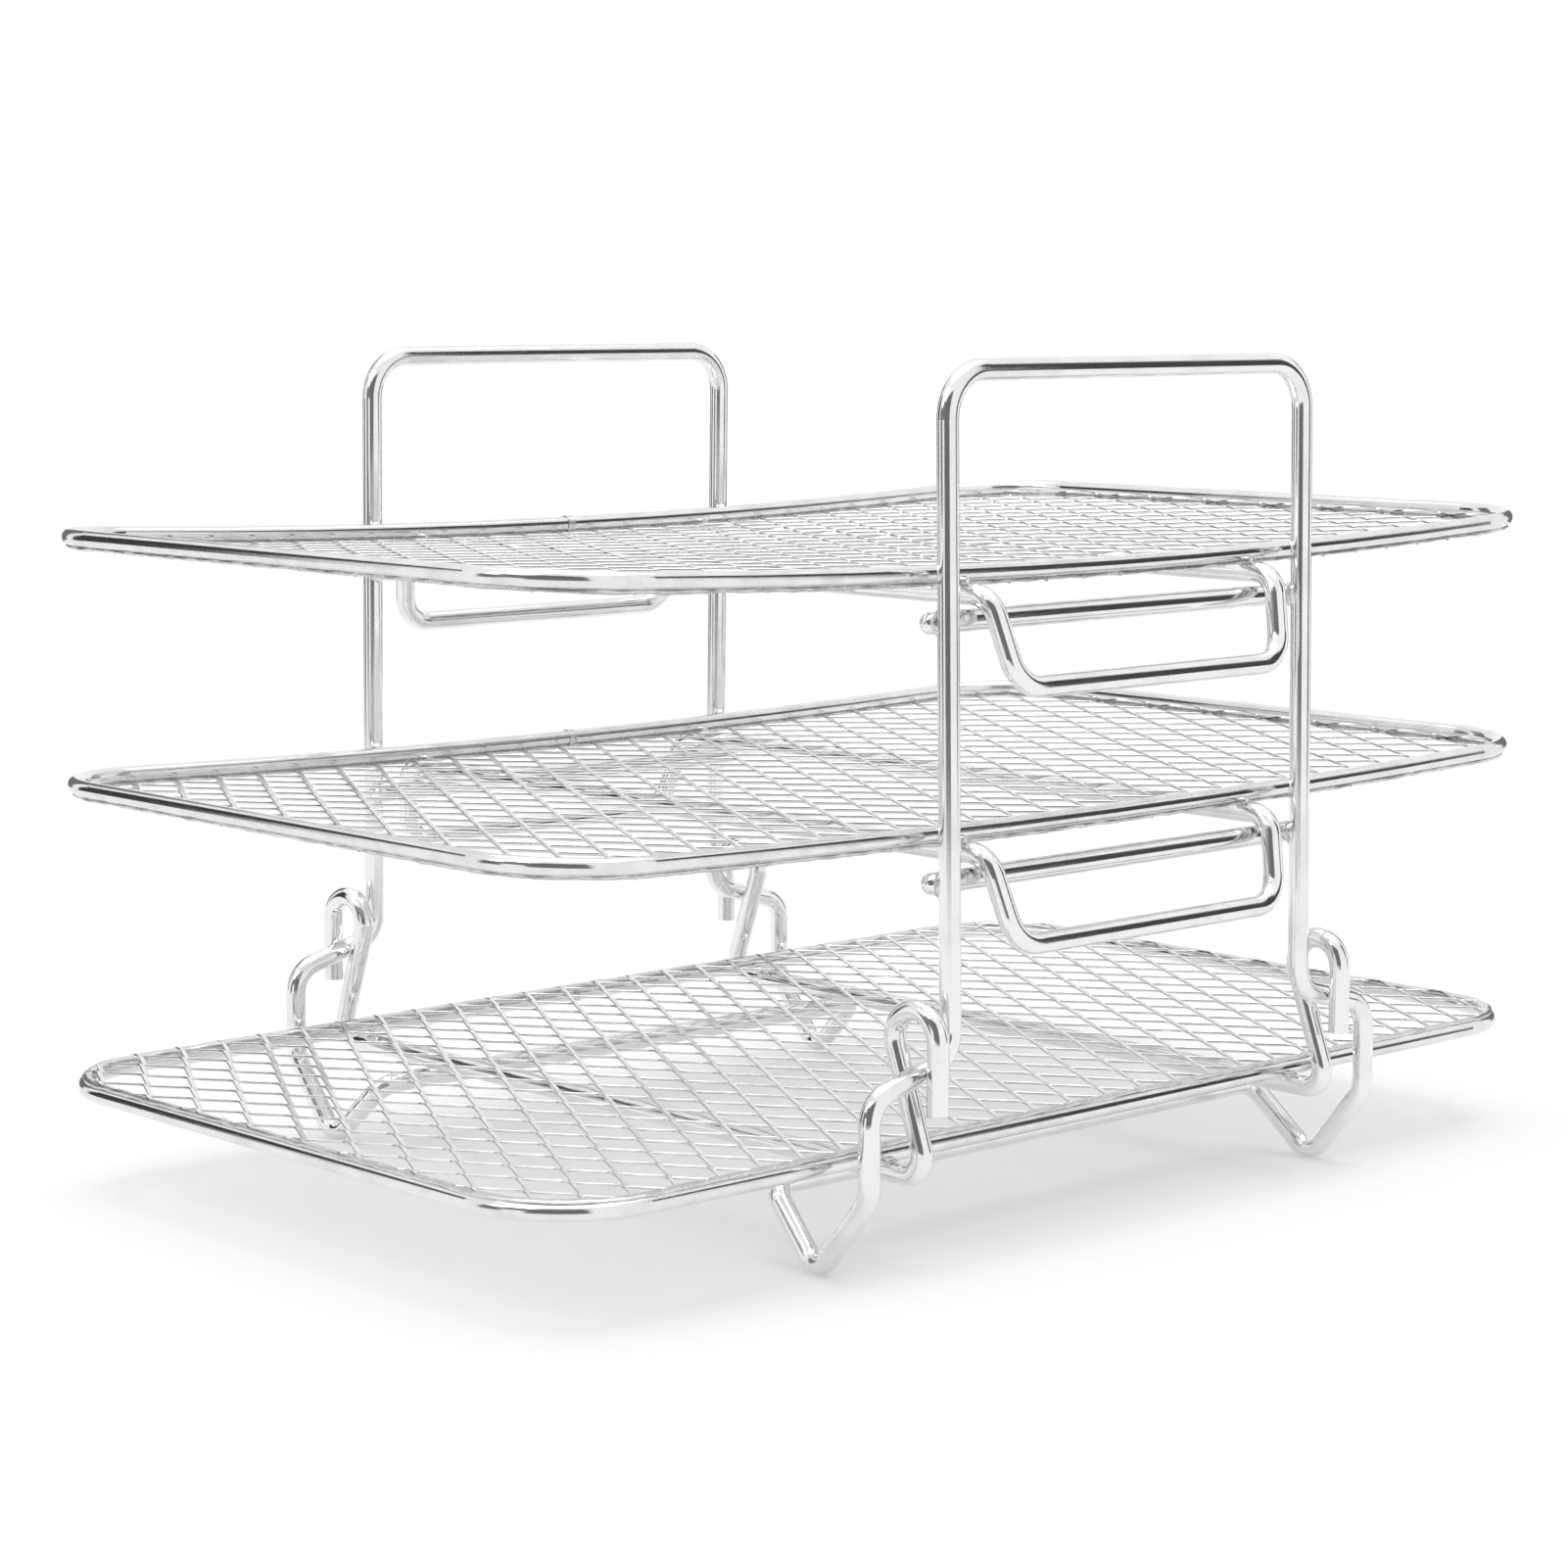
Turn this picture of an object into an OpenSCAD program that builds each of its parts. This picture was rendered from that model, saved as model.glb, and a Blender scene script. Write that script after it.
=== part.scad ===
// Three-tier wire cooling rack. Two folding handle frames hang in the hooks of a bottom
// tray and carry two loose trays on their crossbars.
// Z points up and z = 0 is the table under the feet. X runs along the long side of the trays.

/* [Wire] */
// Diameter of the frame, crossbar, hook and support wire
wire_d = 3; // [2.6:0.1:3.3]
// Diameter of the tray rim wire
rim_d = 2.4; // [2:0.1:2.8]
// Depth by which one welded wire sinks into the next
weld_sink = 0.2; // [0.1:0.05:0.3]

/* [Trays] */
// Overall length of each tray
tray_l = 205; // [190:1:225]
// Overall width of the top and middle trays
tray_w = 122; // [112:1:130]
// Outline radius of the tray corners, on the wire's centreline
corner_r = 16; // [10:1:22]
// Narrowing of the bottom tray on each long side
base_inset = 0.8; // [0.5:0.1:1.5]
// Height of the middle tray's upturned ends above its middle
middle_bow = 1.9; // [1.5:0.1:4]
// Height of the top tray's upturned ends above its middle
top_bow = 2.9; // [1.5:0.1:4]

/* [Mesh] */
// Distance between diamonds along the tray
mesh_pitch_x = 7.45; // [6:0.05:12]
// Distance between diamonds across the tray
mesh_pitch_y = 12.5; // [10:0.1:18]
// Width of the strands between the diamonds
strand_w = 0.75; // [0.6:0.05:1.2]
// Thickness of the expanded sheet
mesh_t = 0.6; // [0.4:0.05:0.9]
// Depth by which the welded sheet sinks into the rim
mesh_sink = 0.1; // [0.05:0.05:0.2]
// Length of the butt weld that closes a rim
seam_w = 1.4; // [1:0.1:2]

/* [Heights] */
// Height of the bottom tray's rim centre above the table
base_z = 16; // [14:0.5:20]
// Height of the middle crossbars
middle_bar_z = 52.6; // [48:0.1:58]
// Height of the top crossbars
top_bar_z = 87.7; // [83:0.1:92]
// Height of the handle bars' centre
handle_z = 121.3; // [116:0.1:130]
// Gap between a crossbar and the support wire that rests on it
rest_gap = 0.25; // [0.2:0.05:0.4]

/* [Handle frames] */
// Distance between the two legs of a frame, centre to centre
leg_span = 72.8; // [68:0.2:78]
// Lean of a frame towards the trays, in degrees
frame_lean = 0.9; // [0:0.1:1.5]
// Bend radius of the handle corners
handle_r = 6.5; // [5:0.5:9]
// Step of the legs out past the hooks
jog_out = 15.3; // [14:0.1:17]
// Drop of the step between the leg and the outer leg
jog_drop = 4.1; // [3:0.1:5]
// Height of the middle of the step
jog_z = 27.3; // [25:0.1:29]
// Distance of the step outside the bottom tray's rim
jog_gap = 4.6; // [4.5:0.1:5.5]
// Bend radius at the step
jog_r = 4.5; // [3.5:0.1:5]
// Overhang of a crossbar past the leg's centre
bar_overhang = 2.1; // [1.8:0.1:4]

/* [Feet] */
// Bend radius where the outer leg turns in towards its foot
foot_top_r = 5; // [4:0.1:6]
// Height at which the outer leg turns in towards its foot
foot_z = 12.2; // [10:0.1:13]
// Distance of the foot's point inside the outer leg
foot_in = 10.1; // [8:0.1:12]
// Distance of the lower bar inside the foot's point
foot_back = 10.5; // [9:0.1:13]
// Distance by which the lower bar's corners lie inside the outer legs
foot_toe = 1.6; // [1:0.1:2.5]
// Bend radius at the foot's point
foot_r = 3; // [2.4:0.1:3.6]

/* [Hooks] */
// Distance of the hook wires outside the frames' legs
hook_out = 5.6; // [4:0.1:7.5]
// Centreline radius of the hook's loop
hook_r = 4.1; // [3.9:0.05:4.5]
// Height of the loop's centre above the step
hook_rise = 4.9; // [4:0.1:6]
// Lean of the hook's long limb, in degrees
hook_lean = 20; // [16:0.5:22]
// Length of the hook's cut end below the loop's centre
hook_tail = 9.6; // [7:0.1:11]
// Bend radius below the long limb
hook_bend_r = 3; // [2.5:0.1:3.5]
// Gap between the hook's cut end and the step that it holds
hook_gap = 0.2; // [0.15:0.05:0.4]

/* [Supports] */
// Distance of the support runs inside the frames' legs
support_in = 7.1; // [5:0.1:10]
// Narrowing of each drop from its top to its bottom, on each side
drop_taper = 2.3; // [1:0.1:4]
// Depth of the drops below the tray rim
drop_h = 15; // [13:0.1:17]
// Outward lean of the drops, in degrees
drop_lean = 15; // [10:0.5:20]
// Bend radius where a run turns down over the crossbar
drop_top_r = 4; // [3.5:0.1:4.5]
// Bend radius at the bottom corners of a drop
drop_r = 5; // [4:0.1:6]

/* [Hidden] */
$fn = 32;

steel = "gainsboro";
mesh_steel = "silver";
weld_steel = "darkgray";
wire_r = wire_d / 2;
rim_r = rim_d / 2;

// Swelling of a wire in its bends, and the length by which its straight runs reach into them
bend_swell = 0.03;
lap = 0.15;

// Half sizes of the rims, measured to the wire's centreline
rim_hl = tray_l / 2 - rim_r;
rim_hw = tray_w / 2 - rim_r;
base_hw = rim_hw - base_inset;

// Heights of the wires that are welded under a rim, below the rim's centre
support_below = rim_r + wire_r + weld_sink / 2;
hook_run_z = base_z - rim_r - wire_r + weld_sink;
middle_rim_z = middle_bar_z + wire_d + rest_gap + support_below;
top_rim_z = top_bar_z + wire_d + rest_gap + support_below;

// Handle frames: the step lies outside the bottom rim and the frame leans in about it
leg_x = leg_span / 2;
outer_x = leg_x + jog_out;
hook_x = leg_x + hook_out;
support_x = leg_x - support_in;
jog_y = base_hw + rim_r + jog_gap;
low_bar_z = hook_run_z - wire_d;

// Height of the foot's point at which its bend just meets the table once the frame leans in.
// The directions of its two arms depend on that height, so it is found from a first guess v.
function foot_point(v) =
    let (a = unit([0, -foot_in, foot_z - v]),
         b = unit([-foot_toe, foot_back, low_bar_z - v]),
         half = acos(a * b) / 2,
         across = unit(cross(a, b)))
    wire_r + bend_swell / 2 + foot_in * sin(frame_lean)
    + foot_r * norm([across[0], across[1]]) - foot_r * unit(a + b)[2] / sin(half);
foot_top_z = foot_point(foot_point(0));
function leg_y(z) = jog_y - (z - jog_z) * sin(frame_lean);
function bar_y(z) = leg_y(z) - wire_d + weld_sink;

// A crossbar of either tier stays clear of the drops that hang outside it
drop_centre_y = max(bar_y(middle_bar_z), bar_y(top_bar_z));
drop_top_y = drop_centre_y + drop_top_r * tan((90 - drop_lean) / 2);
drop_low_y = drop_top_y + (drop_h - support_below) * tan(drop_lean);

// Hook loop: its cut end hangs outside the step, its long limb passes inside it
hook_out_y = jog_y + wire_d + hook_gap;
hook_cy = hook_out_y - hook_r;
hook_cz = jog_z + hook_rise;
limb_y = hook_cy - hook_r * cos(hook_lean);
limb_z = hook_cz - hook_r * sin(hook_lean);
hook_foot_y = limb_y + (limb_z - hook_run_z) * tan(hook_lean);

// A tray of bow b is an arc about an axis along Y, up to the start of its corners
function bow_r(b) = (rim_hl * rim_hl + b * b) / (2 * b);
function bow_a(b) = asin((rim_hl - corner_r) / bow_r(b));
function bow_z(b, x) = bow_r(b) - sqrt(bow_r(b) * bow_r(b) - x * x);

function unit(v) = v / norm(v);
function turn(a, b, c) = acos(max(-1, min(1, unit(b - a) * unit(c - b))));
function setback(a, b, c, r) = r * tan(turn(a, b, c) / 2);

// Places its children so that their Z axis runs along n and their X axis along u
module along(p, u, n) {
    v = cross(n, u);
    multmatrix([[u[0], v[0], n[0], p[0]],
                [u[1], v[1], n[1], p[1]],
                [u[2], v[2], n[2], p[2]],
                [0, 0, 0, 1]])
        children();
}

// A direction square to n
function square_to(n) = unit(abs(n[2]) < 0.9 ? cross(n, [0, 0, 1]) : cross(n, [1, 0, 0]));

// A straight round wire from a to b
module rod(a, b, d) {
    n = unit(b - a);
    along(a, square_to(n), n)
        cylinder(h = norm(b - a), d = d);
}

// The bend of a round wire at b, on its way from a to c. A wire swells a little where it is bent.
module bend(a, b, c, r, d) {
    e = unit(a - b);
    f = unit(c - b);
    out = unit(cross(cross(e, f), e));
    along(b + e * setback(a, b, c, r) + out * r, -out, unit(cross(f, e)))
        rotate_extrude(angle = turn(a, b, c), $fn = 96)
            translate([r, 0])
                circle(d = d + bend_swell, $fn = 32);
}

// A bent wire through the points p with a bend of radius r[i] at point i. Its straight runs
// reach into the bends. A closed wire returns from its last point to its first.
module wire(p, r, d, closed = false) {
    n = len(p);
    ends = closed ? n : n - 1;
    for (i = [0:ends - 1]) {
        a = p[i];
        b = p[(i + 1) % n];
        from = closed || i > 0 ? setback(p[(i + n - 1) % n], a, b, r[i]) - lap : 0;
        to = closed || i < n - 2 ? setback(a, b, p[(i + 2) % n], r[(i + 1) % n]) - lap : 0;
        rod(a + unit(b - a) * from, b - unit(b - a) * to, d);
    }
    for (i = [(closed ? 0 : 1):(closed ? n - 1 : n - 2)])
        bend(p[(i + n - 1) % n], p[i], p[(i + 1) % n], r[i], d);
}

// Turns a piece made at the front, outwards along -Y, to the back
module at_back() {
    rotate([0, 0, 180])
        children();
}

// Leans a piece of the front frame in about the step
module leaning() {
    translate([0, -jog_y, jog_z])
        rotate([-frame_lean, 0, 0])
            translate([0, jog_y, -jog_z])
                children();
}

// One side of a frame's path, from the middle of the lower bar up to the handle corner
function side_path(s) = [
    [s * (outer_x - foot_toe), -jog_y + foot_in + foot_back, low_bar_z],
    [s * outer_x, -jog_y + foot_in, foot_top_z],
    [s * outer_x, -jog_y, foot_z],
    [s * outer_x, -jog_y, jog_z - jog_drop / 2],
    [s * leg_x, -jog_y, jog_z + jog_drop / 2],
    [s * leg_x, -jog_y, handle_z]];
side_r = [foot_r, foot_r, foot_top_r, jog_r, jog_r, handle_r];

module frame() {
    right = side_path(1);
    left = side_path(-1);
    color(steel)
        wire(concat(right, [for (i = [5:-1:0]) left[i]]),
             concat(side_r, [for (i = [5:-1:0]) side_r[i]]), wire_d, closed = true);
}

// A crossbar on the inner side of a frame's legs, with rounded ends
module crossbar(z) {
    reach = leg_x + bar_overhang - wire_r;
    color(steel)
        translate([0, -bar_y(z), z]) {
            translate([-reach, 0, 0])
                rotate([0, 90, 0])
                    cylinder(h = 2 * reach, d = wire_d);
            for (s = [-1, 1])
                translate([s * reach, 0, 0])
                    sphere(d = wire_d);
        }
}

// Flat weld spots between the legs and the crossbars of one frame
module crossbar_welds() {
    for (z = [middle_bar_z, top_bar_z])
        for (s = [-1, 1])
            color(weld_steel)
                translate([s * leg_x, -(leg_y(z) + bar_y(z)) / 2, z])
                    sphere(d = wire_d * 0.9);
}

// The rim of the bottom tray, flat, with rounded corners
module flat_rim(hw) {
    x = rim_hl;
    color(steel)
        wire([[x, hw, 0], [-x, hw, 0], [-x, -hw, 0], [x, -hw, 0]],
             [corner_r, corner_r, corner_r, corner_r], rim_d, closed = true);
}

// The rim of an upper tray of bow b: its long sides follow the bow and its ends lie in their slope
module bowed_rim(b) {
    r = bow_r(b);
    sweep = 2 * bow_a(b) + 2 * atan(lap / r);
    color(steel) {
        for (s = [-1, 1])
            translate([0, s * rim_hw, r])
                rotate([90, 0, 0])
                    rotate([0, 0, -90 - sweep / 2])
                        rotate_extrude(angle = sweep, $fn = 1440)
                            translate([r, 0])
                                circle(d = rim_d, $fn = 32);
        rim_end(b);
        mirror([1, 0, 0])
            rim_end(b);
    }
}

// One end of an upper rim: two corners and the short side between them
module rim_end(b) {
    a = bow_a(b);
    translate([bow_r(b) * sin(a), 0, bow_r(b) - bow_r(b) * cos(a)])
        rotate([0, -a, 0]) {
            for (t = [0, 1])
                mirror([0, t, 0])
                    translate([0, rim_hw - corner_r, 0])
                        rotate_extrude(angle = 90, $fn = 96)
                            translate([corner_r, 0])
                                circle(d = rim_d + bend_swell, $fn = 32);
            translate([corner_r, -(rim_hw - corner_r) - lap, 0])
                rotate([-90, 0, 0])
                    cylinder(h = 2 * (rim_hw - corner_r + lap), d = rim_d);
        }
}

// Rounded rectangle with half sizes hl and hw
module tray_outline(hl, hw, r) {
    square([2 * (hl - r), 2 * hw], center = true);
    square([2 * hl, 2 * (hw - r)], center = true);
    for (s = [-1, 1])
        for (t = [-1, 1])
            translate([s * (hl - r), t * (hw - r)])
                circle(r = r, $fn = 64);
}

// One diamond opening of the expanded sheet
module diamond() {
    gx = mesh_pitch_x / 2 - strand_w / 2 / cos(atan(mesh_pitch_x / mesh_pitch_y));
    gy = gx * mesh_pitch_y / mesh_pitch_x;
    polygon([[gx, 0], [0, gy], [-gx, 0], [0, -gy]]);
}

// The expanded sheet in the flat, cut to the rim's centreline
module sheet(hw) {
    nx = ceil(rim_hl / mesh_pitch_x);
    ny = ceil(hw / mesh_pitch_y);
    difference() {
        tray_outline(rim_hl, hw, corner_r);
        intersection() {
            tray_outline(rim_hl - 1, hw - 1, corner_r - 1);
            for (i = [-2 * nx:2 * nx])
                for (j = [-2 * ny:2 * ny])
                    if ((i + j) % 2 == 0)
                        translate([i * mesh_pitch_x / 2, j * mesh_pitch_y / 2])
                            diamond();
        }
    }
}

module flat_mesh(hw) {
    color(mesh_steel)
        linear_extrude(height = mesh_t)
            sheet(hw);
}

// The expanded sheet of a tray of bow b, following the bow in narrow flat steps
module bowed_mesh(b) {
    steps = 10;
    w = 2 * rim_hl / steps;
    line = [for (i = [0:steps]) [i * w - rim_hl, bow_z(b, i * w - rim_hl)]];
    color(mesh_steel)
        intersection() {
            linear_extrude(height = b + 2)
                sheet(rim_hw);
            rotate([90, 0, 0])
                translate([0, 0, -rim_hw - 1])
                    linear_extrude(height = 2 * rim_hw + 2)
                        polygon(concat(line, [for (i = [steps:-1:0]) line[i] + [0, mesh_t]]));
        }
}

// The closed support wire of a tray of bow b: two runs under the tray that turn down outside
// the crossbars and join below them at the front and at the back
module support(b) {
    x = support_x;
    bx = support_x - drop_taper;
    top = bow_z(b, support_x) - support_below;
    low = -drop_h;
    color(steel)
        wire([[x, -drop_top_y, top], [bx, -drop_low_y, low], [-bx, -drop_low_y, low],
              [-x, -drop_top_y, top], [-x, drop_top_y, top], [-bx, drop_low_y, low],
              [bx, drop_low_y, low], [x, drop_top_y, top]],
             [drop_top_r, drop_r, drop_r, drop_top_r, drop_top_r, drop_r, drop_r, drop_top_r],
             wire_d, closed = true);
}

// One end of a hook wire: the long limb, the loop over the step and the cut end
module hook_end() {
    limb = [0, -limb_y, limb_z];
    foot = [0, -hook_foot_y, hook_run_z];
    inner = [0, 0, hook_run_z];
    up = unit(limb - foot);
    back = setback(inner, foot, limb, hook_bend_r) - lap;
    rod(inner, foot + [0, back, 0], wire_d);
    bend(inner, foot, limb, hook_bend_r, wire_d);
    rod(foot + up * back, limb + up * lap, wire_d);
    translate([0, -hook_cy, hook_cz])
        rotate([90, 0, -90])
            rotate_extrude(angle = 180 + hook_lean, $fn = 96)
                translate([hook_r, 0])
                    circle(d = wire_d + bend_swell, $fn = 32);
    translate([0, -hook_out_y, hook_cz - hook_tail])
        cylinder(h = hook_tail + lap, d = wire_d);
}

// A wire that runs under the bottom tray and hooks over a frame's step at each end
module hook_wire() {
    color(steel) {
        hook_end();
        mirror([0, 1, 0])
            hook_end();
    }
}

// Weld spots where a wire crosses under the two long sides of a rim
module rim_welds(x, hw, z) {
    for (s = [-1, 1])
        for (t = [-1, 1])
            color(weld_steel)
                translate([s * x, t * hw, z])
                    sphere(d = rim_d * 0.9);
}

// The butt weld that closes a rim, in the middle of its back side
module rim_seam(hw) {
    color(weld_steel)
        translate([-seam_w / 2, hw, 0])
            rotate([0, 90, 0])
                cylinder(h = seam_w, d = rim_d + 0.3);
}

leaning() frame();  // front_frame
at_back() leaning() frame();  // back_frame
crossbar(top_bar_z);  // front_top_crossbar
crossbar(middle_bar_z);  // front_middle_crossbar
at_back() crossbar(top_bar_z);  // back_top_crossbar
at_back() crossbar(middle_bar_z);  // back_middle_crossbar
crossbar_welds();  // front_crossbar_welds
at_back() crossbar_welds();  // back_crossbar_welds
translate([0, 0, base_z]) flat_rim(base_hw);  // base_rim
translate([0, 0, base_z]) rim_seam(base_hw);  // base_rim_seam
translate([0, 0, base_z + rim_r - mesh_sink]) flat_mesh(base_hw);  // base_mesh
translate([-hook_x, 0, 0]) hook_wire();  // left_hook_wire
translate([hook_x, 0, 0]) hook_wire();  // right_hook_wire
rim_welds(hook_x, base_hw, base_z - rim_r);  // base_tray_welds
translate([0, 0, middle_rim_z]) bowed_rim(middle_bow);  // middle_rim
translate([0, 0, middle_rim_z]) rim_seam(rim_hw);  // middle_rim_seam
translate([0, 0, middle_rim_z - rim_r + mesh_sink - mesh_t]) bowed_mesh(middle_bow);  // middle_mesh
translate([0, 0, middle_rim_z]) support(middle_bow);  // middle_support
rim_welds(support_x, rim_hw, middle_rim_z + bow_z(middle_bow, support_x) - rim_r);  // middle_tray_welds
translate([0, 0, top_rim_z]) bowed_rim(top_bow);  // top_rim
translate([0, 0, top_rim_z]) rim_seam(rim_hw);  // top_rim_seam
translate([0, 0, top_rim_z - rim_r + mesh_sink - mesh_t]) bowed_mesh(top_bow);  // top_mesh
translate([0, 0, top_rim_z]) support(top_bow);  // top_support
rim_welds(support_x, rim_hw, top_rim_z + bow_z(top_bow, support_x) - rim_r);  // top_tray_welds
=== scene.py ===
"""A three-tier wire cooling rack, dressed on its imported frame.

The wires keep their CAD shapes and get a bright drawn finish. The three expanded sheets, their
pressed edges and the weld beads are modelled here, and a plain studio lights the whole.
"""

import logging
import math
from dataclasses import dataclass
from enum import Enum

import bmesh
import bpy
from mathutils import Matrix, Vector, noise


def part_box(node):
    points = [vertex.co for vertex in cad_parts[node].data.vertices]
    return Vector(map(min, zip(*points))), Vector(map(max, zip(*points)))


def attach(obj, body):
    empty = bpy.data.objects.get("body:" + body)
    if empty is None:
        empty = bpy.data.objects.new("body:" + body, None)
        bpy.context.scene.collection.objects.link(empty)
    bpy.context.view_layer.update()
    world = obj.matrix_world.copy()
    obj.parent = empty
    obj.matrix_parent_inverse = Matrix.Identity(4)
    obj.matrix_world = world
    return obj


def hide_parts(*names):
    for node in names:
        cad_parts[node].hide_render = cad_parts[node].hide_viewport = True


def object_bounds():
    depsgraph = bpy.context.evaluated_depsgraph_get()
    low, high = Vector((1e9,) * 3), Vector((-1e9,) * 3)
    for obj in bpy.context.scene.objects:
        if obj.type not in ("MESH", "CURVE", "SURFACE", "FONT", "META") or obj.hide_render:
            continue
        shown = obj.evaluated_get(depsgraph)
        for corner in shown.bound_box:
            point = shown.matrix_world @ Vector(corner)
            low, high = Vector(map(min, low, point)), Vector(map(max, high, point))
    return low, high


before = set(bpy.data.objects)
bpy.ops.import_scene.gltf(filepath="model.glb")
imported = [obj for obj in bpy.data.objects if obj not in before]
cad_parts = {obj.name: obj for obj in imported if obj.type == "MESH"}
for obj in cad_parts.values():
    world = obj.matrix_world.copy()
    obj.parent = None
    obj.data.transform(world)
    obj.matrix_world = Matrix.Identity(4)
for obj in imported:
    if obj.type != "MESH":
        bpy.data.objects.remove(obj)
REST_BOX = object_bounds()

logging.basicConfig(level=logging.INFO, format="%(levelname)s %(message)s")
LOG = logging.getLogger("cooling_rack")

MM = 0.001
Colour = tuple[float, float, float]


class Body(Enum):
    """The rigid bodies of the rack."""

    BASE = "base"
    MIDDLE = "middle_tray"
    TOP = "top_tray"


class Slot(Enum):
    """The material slots of the record."""

    WIRE = "bright_wire"
    SHEET = "expanded_sheet"
    WELD = "weld_mark"


class Side(Enum):
    """The side of a rim on which its sheet is welded, as a sign along Z."""

    OVER = 1
    UNDER = -1


# ---------------------------------------------------------------- node trees


class Value:
    """A number socket of a node tree, on which arithmetic adds Math nodes."""

    def __init__(self, graph: "Graph", socket: bpy.types.NodeSocket) -> None:
        """Keeps the socket and the graph that it belongs to."""
        self.graph = graph
        self.socket = socket

    def _math(self, operation: str, *terms: "Value | float") -> "Value":
        """Adds one Math node.

        Args:
            operation: The node's operation.
            terms: The node's inputs, in order.

        Returns:
            The node's result.
        """
        inputs = dict(enumerate(terms))
        return self.graph.value("ShaderNodeMath", {"operation": operation}, inputs)

    def __add__(self, other: "Value | float") -> "Value":
        """The sum."""
        return self._math("ADD", self, other)

    __radd__ = __add__

    def __sub__(self, other: "Value | float") -> "Value":
        """The difference."""
        return self._math("SUBTRACT", self, other)

    def __rsub__(self, other: "Value | float") -> "Value":
        """The difference, the other way round."""
        return self._math("SUBTRACT", other, self)

    def __mul__(self, other: "Value | float") -> "Value":
        """The product."""
        return self._math("MULTIPLY", self, other)

    __rmul__ = __mul__

    def __abs__(self) -> "Value":
        """The size without its sign."""
        return self._math("ABSOLUTE", self)

    def highest(self, other: "Value | float") -> "Value":
        """The larger of the two."""
        return self._math("MAXIMUM", self, other)


class Graph:
    """A node tree and the one method that adds nodes to it."""

    def __init__(self, tree: bpy.types.NodeTree) -> None:
        """Empties the tree."""
        self.tree = tree
        tree.nodes.clear()

    def node(self, kind: str, settings: dict | None = None, inputs: dict | None = None) -> bpy.types.Node:
        """Adds a node.

        Args:
            kind: The node's type.
            settings: Its properties.
            inputs: What each socket gets: a Value, another socket or a constant.

        Returns:
            The new node.
        """
        made = self.tree.nodes.new(kind)
        for name, setting in (settings or {}).items():
            setattr(made, name, setting)
        for name, value in (inputs or {}).items():
            socket = made.inputs[name]
            source = value.socket if isinstance(value, Value) else value
            if isinstance(source, bpy.types.NodeSocket):
                self.tree.links.new(source, socket)
            else:
                socket.default_value = source
        return made

    def value(self, kind: str, settings: dict | None = None, inputs: dict | None = None,
              output: str | int = 0) -> Value:
        """Adds a node and returns one of its outputs as a Value."""
        return Value(self, self.node(kind, settings, inputs).outputs[output])


# ---------------------------------------------------------------- finishes


@dataclass(frozen=True)
class MetalFinish:
    """A bare metal surface.

    Attributes:
        name: The material's name.
        light: The colour of the clean metal.
        dull: The colour of its duller patches.
        patch_mm: The size of the patches.
        roughness: The lowest and the highest roughness.
        grain_mm: The size of the fine pits and drawing marks.
        depth_mm: Their depth.
    """

    name: str
    light: Colour
    dull: Colour
    patch_mm: float
    roughness: tuple[float, float]
    grain_mm: float
    depth_mm: float

    def material(self) -> bpy.types.Material:
        """Builds the material, or returns it if it is there already."""
        made = bpy.data.materials.get(self.name)
        if made:
            return made
        made = bpy.data.materials.new(self.name)
        made.use_nodes = True
        graph = Graph(made.node_tree)
        place = graph.node("ShaderNodeTexCoord").outputs["Object"]
        patches = graph.value("ShaderNodeTexNoise", {}, {
            "Vector": place, "Scale": 1 / (self.patch_mm * MM), "Detail": 4.0, "Roughness": 0.6})
        grain = graph.value("ShaderNodeTexNoise", {}, {
            "Vector": place, "Scale": 1 / (self.grain_mm * MM), "Detail": 3.0, "Roughness": 0.7})
        worn = graph.value("ShaderNodeMapRange", {"interpolation_type": "SMOOTHSTEP"}, {
            "Value": patches, "From Min": 0.38, "From Max": 0.68, "To Min": 0.0, "To Max": 1.0})
        pits = graph.value("ShaderNodeMapRange", {"interpolation_type": "SMOOTHSTEP"}, {
            "Value": grain, "From Min": 0.5, "From Max": 0.75, "To Min": 0.0, "To Max": 1.0})
        colour = graph.node("ShaderNodeMix", {"data_type": "RGBA"}, {
            "Factor": worn * 0.7 + pits * 0.3, "A": (*self.light, 1.0), "B": (*self.dull, 1.0)})
        low, high = self.roughness
        bump = graph.node("ShaderNodeBump", {}, {
            "Strength": 0.6, "Distance": self.depth_mm * MM, "Height": grain})
        shader = graph.node("ShaderNodeBsdfPrincipled", {}, {
            "Base Color": colour.outputs["Result"],
            "Metallic": 1.0,
            "Roughness": low + (high - low) * (worn * 0.5 + pits * 0.5),
            "Normal": bump.outputs["Normal"]})
        graph.node("ShaderNodeOutputMaterial", {}, {"Surface": shader.outputs[0]})
        return made


WIRE = MetalFinish("bright_drawn_wire", (0.88, 0.88, 0.885), (0.77, 0.77, 0.775), 9.0,
                   (0.06, 0.17), 0.16, 0.010)
RIM = MetalFinish("bright_rim_wire", (0.83, 0.83, 0.835), (0.70, 0.70, 0.705), 6.0,
                  (0.06, 0.18), 0.15, 0.010)
SHEET = MetalFinish("expanded_sheet_steel", (0.80, 0.80, 0.805), (0.68, 0.68, 0.685), 3.0,
                    (0.16, 0.32), 0.3, 0.02)
EDGE = MetalFinish("pressed_sheet_edge", (0.72, 0.72, 0.725), (0.54, 0.54, 0.545), 1.4,
                   (0.2, 0.38), 0.4, 0.02)
WELD = MetalFinish("weld_bead", (0.80, 0.80, 0.80), (0.36, 0.35, 0.34), 0.8,
                   (0.16, 0.4), 0.35, 0.06)


# ---------------------------------------------------------------- pieces


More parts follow.
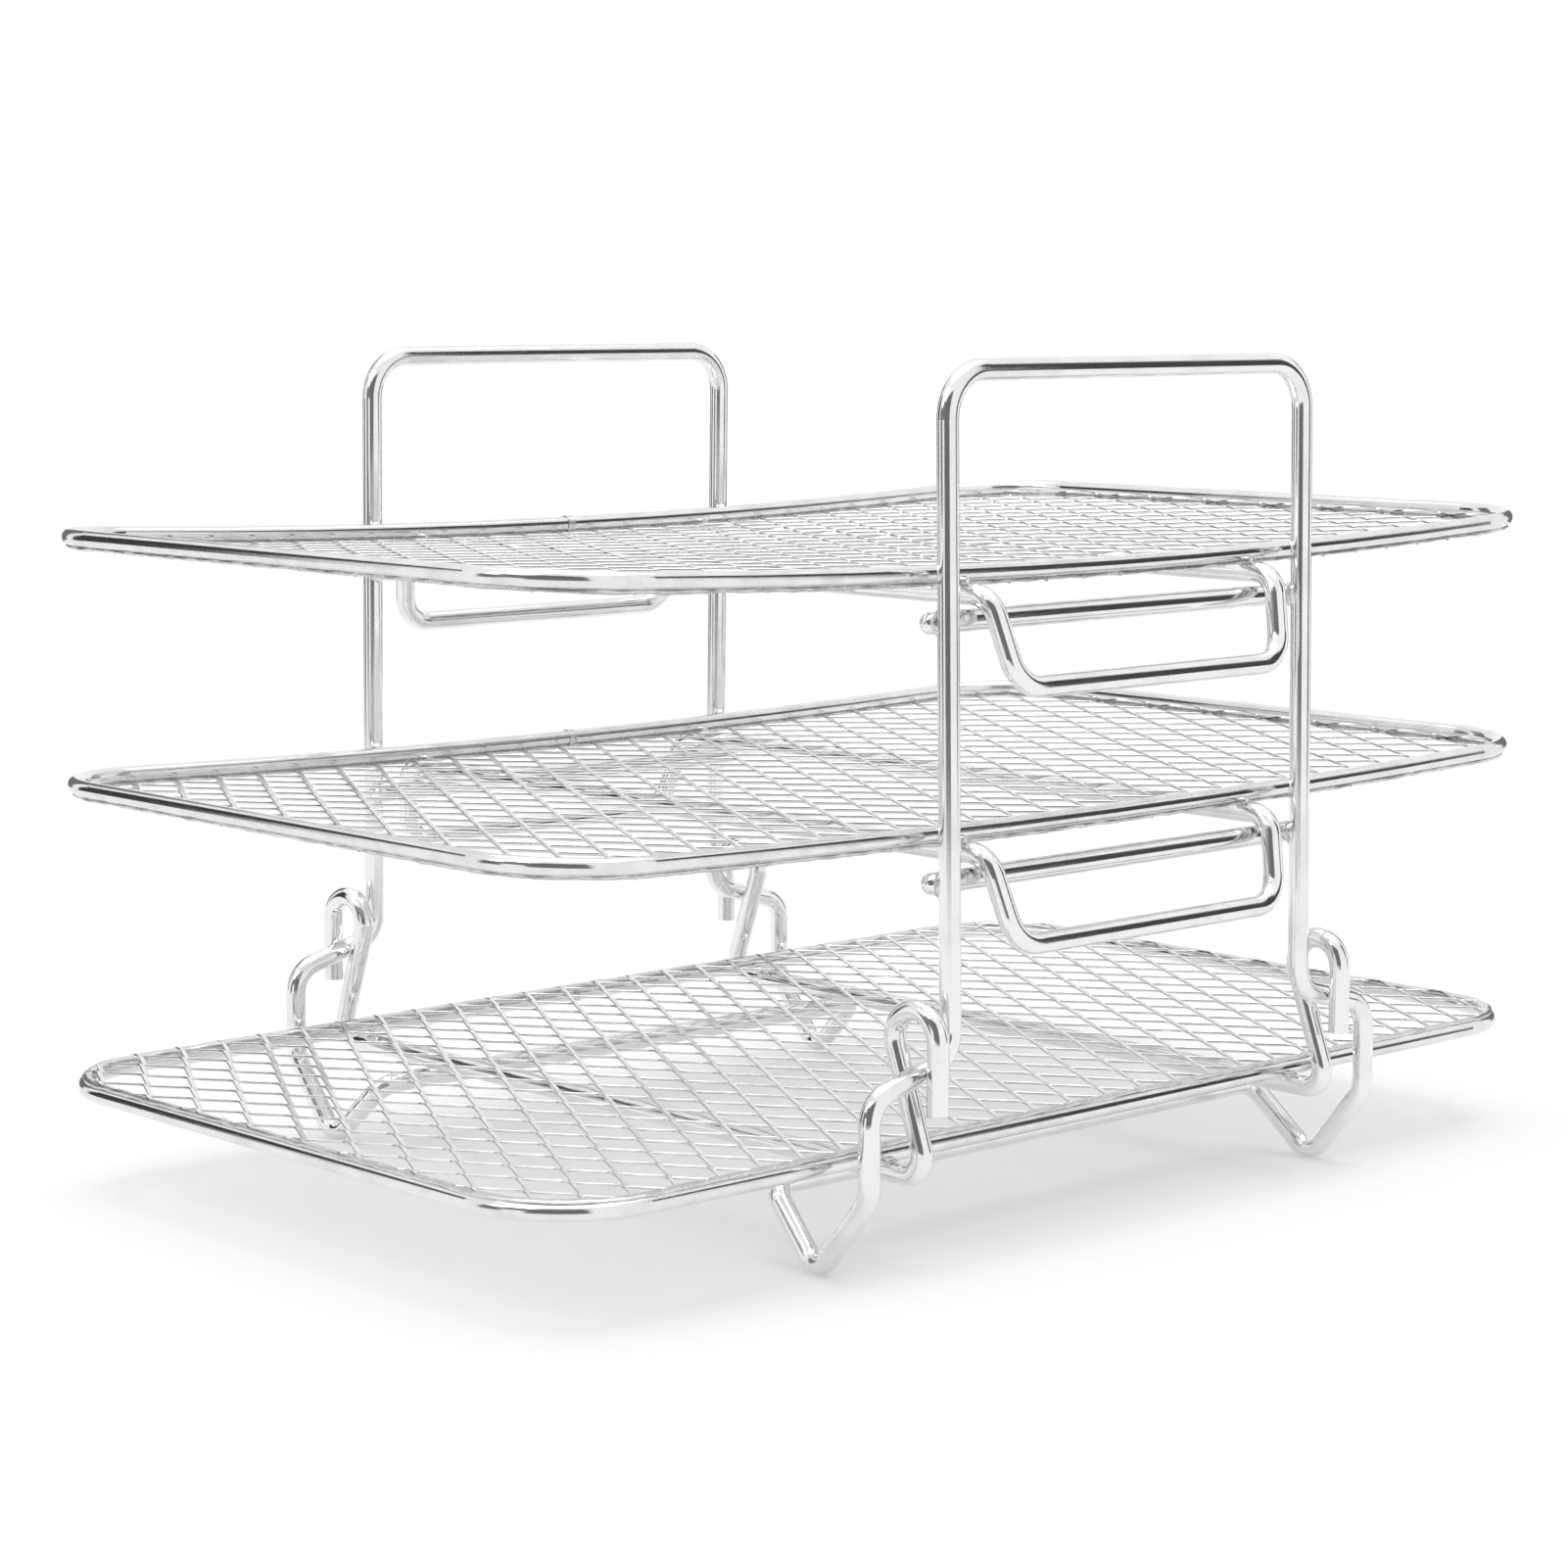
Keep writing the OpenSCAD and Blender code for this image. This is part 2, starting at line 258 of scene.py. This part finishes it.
def place_piece(bm: bmesh.types.BMesh, name: str, finish: MetalFinish, body: Body,
                replaced: tuple[str, ...] = (), sharp: float = 40.0) -> bpy.types.Object:
    """Makes a finished mesh a piece of the rack.

    Args:
        bm: The shape, in place. It is freed.
        name: The piece's name.
        finish: Its finish.
        body: The body that it moves with.
        replaced: The CAD nodes that it stands for.
        sharp: Edges over this angle, in degrees, stay sharp.

    Returns:
        The piece.
    """
    mesh = bpy.data.meshes.new(name)
    bm.to_mesh(mesh)
    bm.free()
    mesh.polygons.foreach_set("use_smooth", [True] * len(mesh.polygons))
    mesh.set_sharp_from_angle(angle=math.radians(sharp))
    mesh.materials.append(finish.material())
    piece = bpy.data.objects.new(name, mesh)
    bpy.context.scene.collection.objects.link(piece)
    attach(piece, body.value)
    if replaced:
        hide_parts(*replaced)
    LOG.info("%s: %d faces on %s", name, len(mesh.polygons), body.value)
    return piece


def moved(geometry: dict) -> list[bmesh.types.BMVert]:
    """The vertices among the geometry that a bmesh operator returned."""
    found = geometry.get("geom") or geometry.get("geom_last") or geometry.get("verts")
    return [g for g in found if isinstance(g, bmesh.types.BMVert)]


@dataclass
class Outline:
    """A tray's rounded rectangle, centred on the origin."""

    half_length: float
    half_width: float
    corner_r: float
    facets: int = 6

    def planes(self) -> list[tuple[Vector, Vector]]:
        """A point and an outward normal for each plane round the outline."""
        found = []
        for quarter in range(4):
            for step in range(self.facets):
                angle = math.pi / 2 * (quarter + step / self.facets)
                out = Vector((math.cos(angle), math.sin(angle), 0.0))
                corner = Vector((math.copysign(self.half_length - self.corner_r, round(out.x, 6) or 1.0),
                                 math.copysign(self.half_width - self.corner_r, round(out.y, 6) or 1.0), 0.0))
                found.append((corner + out * self.corner_r, out))
        return found


@dataclass
class ExpandedSheet:
    """An expanded steel sheet: zigzag ribbons that are joined at their knuckles.

    Attributes:
        outline: The line that it is cut to.
        height: The Z of its middle plane.
        body: The body that carries it. Not used.
        bow_radius: The radius of the tray's bow, or none where it is flat.
        pitch_x: The distance between knuckles along the tray.
        pitch_y: The distance between knuckles across it.
        strand_w: The width of a ribbon.
        strand_t: Its thickness.
        tilt: The tilt of the ribbons about Y, in degrees.
        knuckle: A knuckle's place in the sheet.
        bends: A ribbon's places between two knuckles, as shares of the way along and across.
    """

    name: str
    outline: Outline
    height: float
    body: Body
    bow_radius: float | None = None
    pitch_x: float = 7.45 * MM
    pitch_y: float = 12.5 * MM
    strand_w: float = 1.05 * MM
    strand_t: float = 0.36 * MM
    tilt: float = -14.0
    knuckle: tuple[float, float] = (0.9 * MM, 2.2 * MM)
    bends: tuple[tuple[float, float], ...] = (
        (0.0, 0.0), (0.05, 0.0), (0.12, 0.06), (0.5, 0.5), (0.88, 0.94), (0.95, 1.0))

    @property
    def thickness(self) -> float:
        """The sheet's whole thickness over its tilted knuckles."""
        a = math.radians(self.tilt)
        return 2 * self.strand_w * abs(math.sin(a)) + self.strand_t * math.cos(a)

    def _ribbon(self, bm: bmesh.types.BMesh) -> None:
        """Extrudes one zigzag ribbon along Y, over the whole width of the sheet."""
        a = math.radians(self.tilt)
        section = bmesh.ops.create_grid(bm, x_segments=1, y_segments=1, size=0.5)["verts"]
        bmesh.ops.scale(bm, vec=(self.strand_w, self.strand_t, 1.0), verts=section)
        bmesh.ops.bevel(bm, geom=section, offset=self.strand_t * 0.24, offset_type="OFFSET",
                        segments=1, profile=0.5, affect="VERTICES", material=-1)
        bmesh.ops.rotate(bm, matrix=Matrix.Rotation(math.pi / 2, 3, "X"), verts=bm.verts[:])
        bmesh.ops.rotate(bm, matrix=Matrix.Rotation(-a, 3, "Y"), verts=bm.verts[:])
        halves = 2 * math.ceil((self.outline.half_width + self.pitch_y) / self.pitch_y)
        start = self._centre(-halves * len(self.bends))
        bmesh.ops.translate(bm, vec=start, verts=bm.verts[:])
        end = bm.faces[:]
        for step in range(1 - halves * len(self.bends), halves * len(self.bends) + 1):
            made = bmesh.ops.extrude_face_region(bm, geom=end)
            delta = self._centre(step) - self._centre(step - 1)
            bmesh.ops.translate(bm, vec=delta, verts=moved(made))
            end = [g for g in made["geom"] if isinstance(g, bmesh.types.BMFace)]

    def _centre(self, step: int) -> Vector:
        """The ribbon's centre at a step: a left knuckle at 0, then a right one, and so on."""
        a = math.radians(self.tilt)
        inset = self.strand_w / 2 * math.cos(a)
        rise = self.strand_w / 2 * math.sin(a)
        half, bend = divmod(step, len(self.bends))
        along, across = self.bends[bend]
        if half % 2:
            across = 1 - across
        return Vector((inset + (self.pitch_x / 2 - 2 * inset) * across,
                       self.pitch_y / 2 * (half + along), rise - 2 * rise * across))

    def build(self) -> bmesh.types.BMesh:
        """Lays the ribbons side by side, cuts them to the outline and bows the sheet."""
        bm = bmesh.new()
        self._ribbon(bm)
        first = bm.verts[:] + bm.edges[:] + bm.faces[:]
        reach = math.ceil(2 * self.outline.half_length / self.pitch_x) + 1
        for k in [k for k in range(-reach, reach + 1) if k != 0]:
            copy = bmesh.ops.duplicate(bm, geom=first)
            shift = Vector((k * self.pitch_x / 2, (k % 2) * self.pitch_y / 2, 0.0))
            bmesh.ops.translate(bm, vec=shift, verts=moved(copy))
        x, y = self.knuckle
        bmesh.ops.translate(bm, vec=(x, y, self.height), verts=bm.verts[:])
        for point, out in self.outline.planes():
            cut = bmesh.ops.bisect_plane(bm, geom=bm.verts[:] + bm.edges[:] + bm.faces[:], plane_co=point,
                                         plane_no=out, dist=1e-7, clear_outer=True)
            edges = [g for g in cut["geom_cut"] if isinstance(g, bmesh.types.BMEdge)]
            bmesh.ops.holes_fill(bm, edges=edges, sides=0)
        bmesh.ops.recalc_face_normals(bm, faces=bm.faces[:])
        bend_to_bow(bm, self.bow_radius)
        return bm


def bend_to_bow(bm: bmesh.types.BMesh, radius: float | None) -> None:
    """Lifts a shape's ends to the bow of an upper tray."""
    if radius is None:
        return
    for v in bm.verts:
        v.co.z += radius - math.sqrt(radius * radius - v.co.x * v.co.x)


@dataclass
class SheetEdge:
    """The pressed and welded edge of a sheet, which follows the rim.

    Attributes:
        outline: The line that its middle follows.
        height: The Z of its middle.
        width: How far it reaches across the rim.
        depth: Its thickness.
        bow_radius: The radius of the tray's bow, or none where it is flat.
        wave_mm: How far its cut edge wanders.
    """

    outline: Outline
    height: float
    width: float
    depth: float
    bow_radius: float | None = None
    wave_mm: float = 0.16

    def build(self) -> bmesh.types.BMesh:
        """Sweeps the edge's section round the outline and roughens it."""
        bm = bmesh.new()
        o = self.outline
        section = bmesh.ops.create_circle(bm, cap_ends=False, segments=10, radius=0.5)["verts"]
        bmesh.ops.scale(bm, vec=(self.width, self.depth, 1.0), verts=section)
        bmesh.ops.rotate(bm, matrix=Matrix.Rotation(math.pi / 2, 3, "X"), verts=section)
        bmesh.ops.translate(bm, vec=(o.half_length, -(o.half_width - o.corner_r), self.height), verts=section)
        loop = bm.edges[:]
        for quarter in range(4):
            run = o.half_width - o.corner_r if quarter % 2 == 0 else o.half_length - o.corner_r
            along = Matrix.Rotation(quarter * math.pi / 2, 3, "Z") @ Vector((0.0, 2 * run, 0.0))
            steps = round(2 * run / (1.1 * MM))
            for _ in range(steps):
                made = bmesh.ops.extrude_edge_only(bm, edges=loop)
                bmesh.ops.translate(bm, vec=along / steps, verts=moved(made))
                loop = [g for g in made["geom"] if isinstance(g, bmesh.types.BMEdge)
                        and all(v in moved(made) for v in g.verts)]
            turn = Matrix.Rotation(quarter * math.pi / 2, 3, "Z")
            centre = Vector((o.half_length - o.corner_r, o.half_width - o.corner_r, 0.0))
            if quarter % 2:
                centre = Vector((o.half_width - o.corner_r, o.half_length - o.corner_r, 0.0))
            made = bmesh.ops.spin(bm, geom=loop, cent=turn @ centre, axis=(0, 0, 1), angle=math.pi / 2,
                                  steps=22, use_merge=False)
            loop = [g for g in made["geom_last"] if isinstance(g, bmesh.types.BMEdge)]
        bmesh.ops.remove_doubles(bm, verts=bm.verts[:], dist=1e-6)
        bmesh.ops.recalc_face_normals(bm, faces=bm.faces[:])
        for v in bm.verts:
            v.co += noise.noise_vector(v.co * 400) * (self.wave_mm * MM)
        bend_to_bow(bm, self.bow_radius)
        return bm


@dataclass
class Tray:
    """A tray's sheet and edge, fitted to its rim.

    Attributes:
        level: The tray's name, which starts its nodes' names.
        body: The body that carries it.
        side: The side of the rim on which the sheet lies.
        corner_r: The rim's corner radius, on its centreline.
    """

    level: str
    body: Body
    side: Side
    corner_r: float = 16.0 * MM
    rim_r: float = 1.2 * MM

    def build(self) -> None:
        """Makes the sheet and its edge, fitted to the rim."""
        low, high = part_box(f"{self.level}_rim")
        half_length = high.x - self.rim_r
        half_width = high.y - self.rim_r
        bow = high.z - low.z - 2 * self.rim_r
        radius = (half_length ** 2 + bow ** 2) / (2 * bow) if bow > 0.1 * MM else None
        rim_z = low.z + self.rim_r
        outline = Outline(half_length, half_width, self.corner_r)
        sheet = ExpandedSheet(self.level, outline, 0.0, self.body, radius)
        reach = self.rim_r + sheet.thickness / 2 - 0.22 * MM
        sheet.height = rim_z + self.side.value * reach
        place_piece(sheet.build(), f"{self.level}_expanded_sheet", SHEET, self.body,
                    (f"{self.level}_mesh",))
        edge = SheetEdge(Outline(half_length - 0.25 * MM, half_width - 0.25 * MM, self.corner_r - 0.25 * MM),
                         sheet.height - self.side.value * 0.1 * MM, 1.6 * MM, 0.75 * MM, radius)
        place_piece(edge.build(), f"{self.level}_sheet_edge", EDGE, self.body)


@dataclass
class WeldBeads:
    """The beads that join a frame's crossbars to its legs.

    Attributes:
        side: The frame's name, front or back.
        size: The half sizes of a bead.
    """

    side: str
    size: tuple[float, float, float] = (1.15 * MM, 1.1 * MM, 1.35 * MM)

    def build(self) -> bpy.types.Object:
        """Makes the four beads of one frame, each a lumpy lens between two wires."""
        bm = bmesh.new()
        low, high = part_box(f"{self.side}_crossbar_welds")
        r = 1.35 * MM
        for z in (low.z + r, high.z - r):
            bar = self._bar(z)
            for s in (-1, 1):
                centre = Vector((s * (high.x - r), bar, z))
                made = bmesh.ops.create_icosphere(bm, subdivisions=4, radius=1.0)["verts"]
                bmesh.ops.scale(bm, vec=Vector(self.size) * 1.35, verts=made)
                for v in made:
                    v.co *= 1 + 0.22 * noise.noise(v.co * 900 + centre * 500)
                bmesh.ops.translate(bm, vec=centre, verts=made)
        return place_piece(bm, f"{self.side}_weld_beads", WELD, Body.BASE,
                           (f"{self.side}_crossbar_welds",), 80.0)

    def _bar(self, z: float) -> float:
        """The Y between the legs and the crossbar at this height."""
        low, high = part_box(f"{self.side}_top_crossbar")
        middle_low, middle_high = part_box(f"{self.side}_middle_crossbar")
        if abs(z - (middle_low.z + middle_high.z) / 2) < abs(z - (low.z + high.z) / 2):
            low, high = middle_low, middle_high
        outer = low.y if self.side == "front" else high.y
        return outer


def dress_wires(nodes: dict[str, bpy.types.Object]) -> None:
    """Gives each CAD wire and weld its finish.

    Args:
        nodes: The CAD nodes by name.
    """
    for name, node in nodes.items():
        finish = WELD if "weld" in name or "seam" in name else RIM if "rim" in name else WIRE
        node.data.materials.clear()
        node.data.materials.append(finish.material())
        LOG.info("%s: %s", name, finish.name)


# ---------------------------------------------------------------- studio


@dataclass(frozen=True)
class Camera:
    """The camera's place and lens."""

    place: tuple[float, float, float] = (-0.39224, -0.41662, 0.13256)
    azimuth: float = -42.454
    elevation: float = 7.526
    roll: float = 0.018
    lens: float = 86.72
    shift_x: float = 0.0123
    shift_y: float = -0.0007

    def build(self) -> None:
        """Makes the camera and the scene's use of it."""
        data = bpy.data.cameras.new("camera")
        data.lens, data.sensor_width = self.lens, 36.0
        data.shift_x, data.shift_y = self.shift_x, self.shift_y
        data.clip_start, data.clip_end = 0.01, 20.0
        camera = bpy.data.objects.new("camera", data)
        a, e = math.radians(self.azimuth), math.radians(self.elevation)
        back = Vector((math.sin(a) * math.cos(e), -math.cos(a) * math.cos(e), math.sin(e)))
        turn = (-back).to_track_quat("-Z", "Y").to_matrix() @ Matrix.Rotation(math.radians(self.roll), 3, "Z")
        camera.matrix_world = Matrix.Translation(self.place) @ turn.to_4x4()
        bpy.context.scene.collection.objects.link(camera)
        bpy.context.scene.camera = camera


@dataclass(frozen=True)
class Lamp:
    """A soft rectangular lamp that faces the rack."""

    name: str
    place: tuple[float, float, float]
    size: tuple[float, float]
    power: float

    def build(self) -> None:
        """Makes the lamp."""
        data = bpy.data.lights.new(self.name, "AREA")
        data.shape = "RECTANGLE"
        data.size, data.size_y = self.size
        data.energy = self.power
        lamp = bpy.data.objects.new(self.name, data)
        aim = (Vector((0, 0, 0.05)) - Vector(self.place)).to_track_quat("-Z", "Y")
        lamp.matrix_world = Matrix.Translation(self.place) @ aim.to_matrix().to_4x4()
        bpy.context.scene.collection.objects.link(lamp)


@dataclass(frozen=True)
class Card:
    """A dark studio card, which only the bright metal shows.

    Attributes:
        azimuth: The direction in which it stands, in degrees, as the camera's azimuth counts.
        distance: Its distance from the rack.
        width: Its width.
        bottom: The height of its lower edge.
        top: The height of its upper edge.
        grey: Its brightness.
    """

    name: str
    azimuth: float
    distance: float
    width: float
    bottom: float
    top: float
    grey: float

    def build(self) -> None:
        """Makes the card, upright and facing the rack."""
        bm = bmesh.new()
        made = bmesh.ops.create_grid(bm, x_segments=1, y_segments=1, size=0.5)["verts"]
        bmesh.ops.scale(bm, vec=(self.width, self.top - self.bottom, 1.0), verts=made)
        bmesh.ops.rotate(bm, matrix=Matrix.Rotation(math.pi / 2, 3, "X"), verts=made)
        bmesh.ops.translate(bm, vec=(0, -self.distance, (self.top + self.bottom) / 2), verts=made)
        bmesh.ops.rotate(bm, matrix=Matrix.Rotation(math.radians(self.azimuth), 3, "Z"), verts=made)
        mesh = bpy.data.meshes.new(self.name)
        bm.to_mesh(mesh)
        bm.free()
        card = bpy.data.objects.new(self.name, mesh)
        material = bpy.data.materials.new(self.name)
        material.use_nodes = True
        graph = Graph(material.node_tree)
        glow = graph.node("ShaderNodeEmission", {}, {"Color": (self.grey,) * 3 + (1.0,), "Strength": 1.0})
        graph.node("ShaderNodeOutputMaterial", {}, {"Surface": glow.outputs[0]})
        mesh.materials.append(material)
        bpy.context.scene.collection.objects.link(card)
        card.visible_camera = card.visible_diffuse = card.visible_shadow = False


@dataclass(frozen=True)
class Studio:
    """A pale floor with a painted shade beneath the rack, a white surround and soft lamps."""

    floor_size: float = 12.0
    ambient: float = 0.6
    # whiteness is the share of glow that the painted shade beneath the rack keeps; fade is the width of its
    # soft edge.
    whiteness: float = 0.3
    fade: float = 0.02
    lamps: tuple[Lamp, ...] = (
        Lamp("overhead", (0.1, 0.1, 1.4), (1.4, 1.2), 14.0),
        Lamp("left", (-1.3, 0.1, 0.9), (1.0, 1.0), 5.0),
    )
    cards: tuple[Card, ...] = (
        Card("camera_card", -51.0, 0.5, 0.44, -0.01, 0.5, 0.17),
        Card("side_card", -84.0, 0.5, 0.22, 0.14, 0.40, 0.20),
        Card("right_card", 46.0, 0.6, 0.18, -0.01, 0.6, 0.06),
        Card("left_card", -146.0, 0.6, 0.20, -0.01, 0.42, 0.05),
        Card("back_card", 176.0, 0.6, 0.30, -0.01, 0.45, 0.18),
        Card("far_right_card", 100.0, 0.6, 0.26, -0.01, 0.32, 0.18),
        Card("far_left_card", -104.0, 0.6, 0.22, -0.01, 0.32, 0.18),
    )

    def build(self) -> None:
        """Makes the floor, the surround, the lamps and the cards."""
        self._floor()
        self._surround()
        for item in (*self.lamps, *self.cards):
            item.build()
        bpy.context.scene.view_settings.view_transform = "Standard"

    @staticmethod
    def _seen(graph: Graph, *kinds: str) -> Value:
        """1 for a ray of one of these kinds, by Light Path's names, and 0 for any other."""
        path = graph.node("ShaderNodeLightPath")
        found = Value(graph, path.outputs[kinds[0]])
        for kind in kinds[1:]:
            found = found.highest(Value(graph, path.outputs[kind]))
        return found

    def _floor(self) -> None:
        """Makes the floor: glowing white where it is seen away from the rack, and beneath the rack's
        footprint a painted shade, where it glows less and shows its lit grey together with the rack's real
        shadow.
        """
        bm = bmesh.new()
        made = bmesh.ops.create_grid(bm, x_segments=1, y_segments=1, size=self.floor_size / 2)["verts"]
        bmesh.ops.translate(bm, vec=(0, 0, REST_BOX[0].z - 0.1 * MM), verts=made)
        mesh = bpy.data.meshes.new("floor")
        bm.to_mesh(mesh)
        bm.free()
        material = bpy.data.materials.new("white_floor")
        material.use_nodes = True
        graph = Graph(material.node_tree)
        paint = graph.node("ShaderNodeBsdfDiffuse", {}, {"Color": (0.92, 0.92, 0.92, 1.0)})
        glow = graph.node("ShaderNodeEmission", {}, {"Color": (1.0, 1.0, 1.0, 1.0), "Strength": 1.0})
        place = graph.node("ShaderNodeTexCoord").outputs["Object"]
        axes = graph.node("ShaderNodeSeparateXYZ", {}, {"Vector": place})
        # Painted shade: this mask is 1 beneath the rack's footprint and fades out past its bounds. There the
        # floor's glow drops to the whiteness share, so the floor is painted grey on top of the rack's real
        # shadow.
        painted_shade_mask = 1.0
        for axis, half in (("X", REST_BOX[1].x), ("Y", REST_BOX[1].y)):
            painted_shade_mask = painted_shade_mask * graph.value("ShaderNodeMapRange", {"interpolation_type": "SMOOTHSTEP"}, {
                "Value": abs(Value(graph, axes.outputs[axis])),
                "From Min": half - self.fade, "From Max": half + self.fade, "To Min": 1.0, "To Max": 0.0})
        # Glossy rays see the same floor, so the metal also shows the painted shade as a painted reflection.
        seen = self._seen(graph, "Is Camera Ray", "Is Glossy Ray", "Is Transmission Ray")
        seen = seen * (1 - (1 - self.whiteness) * painted_shade_mask)
        mixed = graph.node("ShaderNodeMixShader", {}, {0: seen, 1: paint.outputs[0], 2: glow.outputs[0]})
        graph.node("ShaderNodeOutputMaterial", {}, {"Surface": mixed.outputs[0]})
        mesh.materials.append(material)
        floor = bpy.data.objects.new("floor", mesh)
        bpy.context.scene.collection.objects.link(floor)

    def _surround(self) -> None:
        """Makes the world: white where it is seen, and a soft fill elsewhere."""
        world = bpy.data.worlds.new("surround")
        world.use_nodes = True
        graph = Graph(world.node_tree)
        seen = self._seen(graph, "Is Camera Ray", "Is Glossy Ray", "Is Transmission Ray")
        strength = self.ambient + (1 - self.ambient) * seen
        glow = graph.node("ShaderNodeBackground", {}, {"Color": (1.0, 1.0, 1.0, 1.0), "Strength": strength})
        graph.node("ShaderNodeOutputWorld", {}, {"Surface": glow.outputs[0]})
        bpy.context.scene.world = world


def main() -> None:
    """Builds the studio, dresses the wires and makes the sheets and beads."""
    Camera().build()
    Studio().build()
    dress_wires(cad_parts)
    for tray in (Tray("base", Body.BASE, Side.OVER),
                 Tray("middle", Body.MIDDLE, Side.UNDER),
                 Tray("top", Body.TOP, Side.UNDER)):
        tray.build()
    for side in ("front", "back"):
        WeldBeads(side).build()


if __name__ == "__main__":
    main()
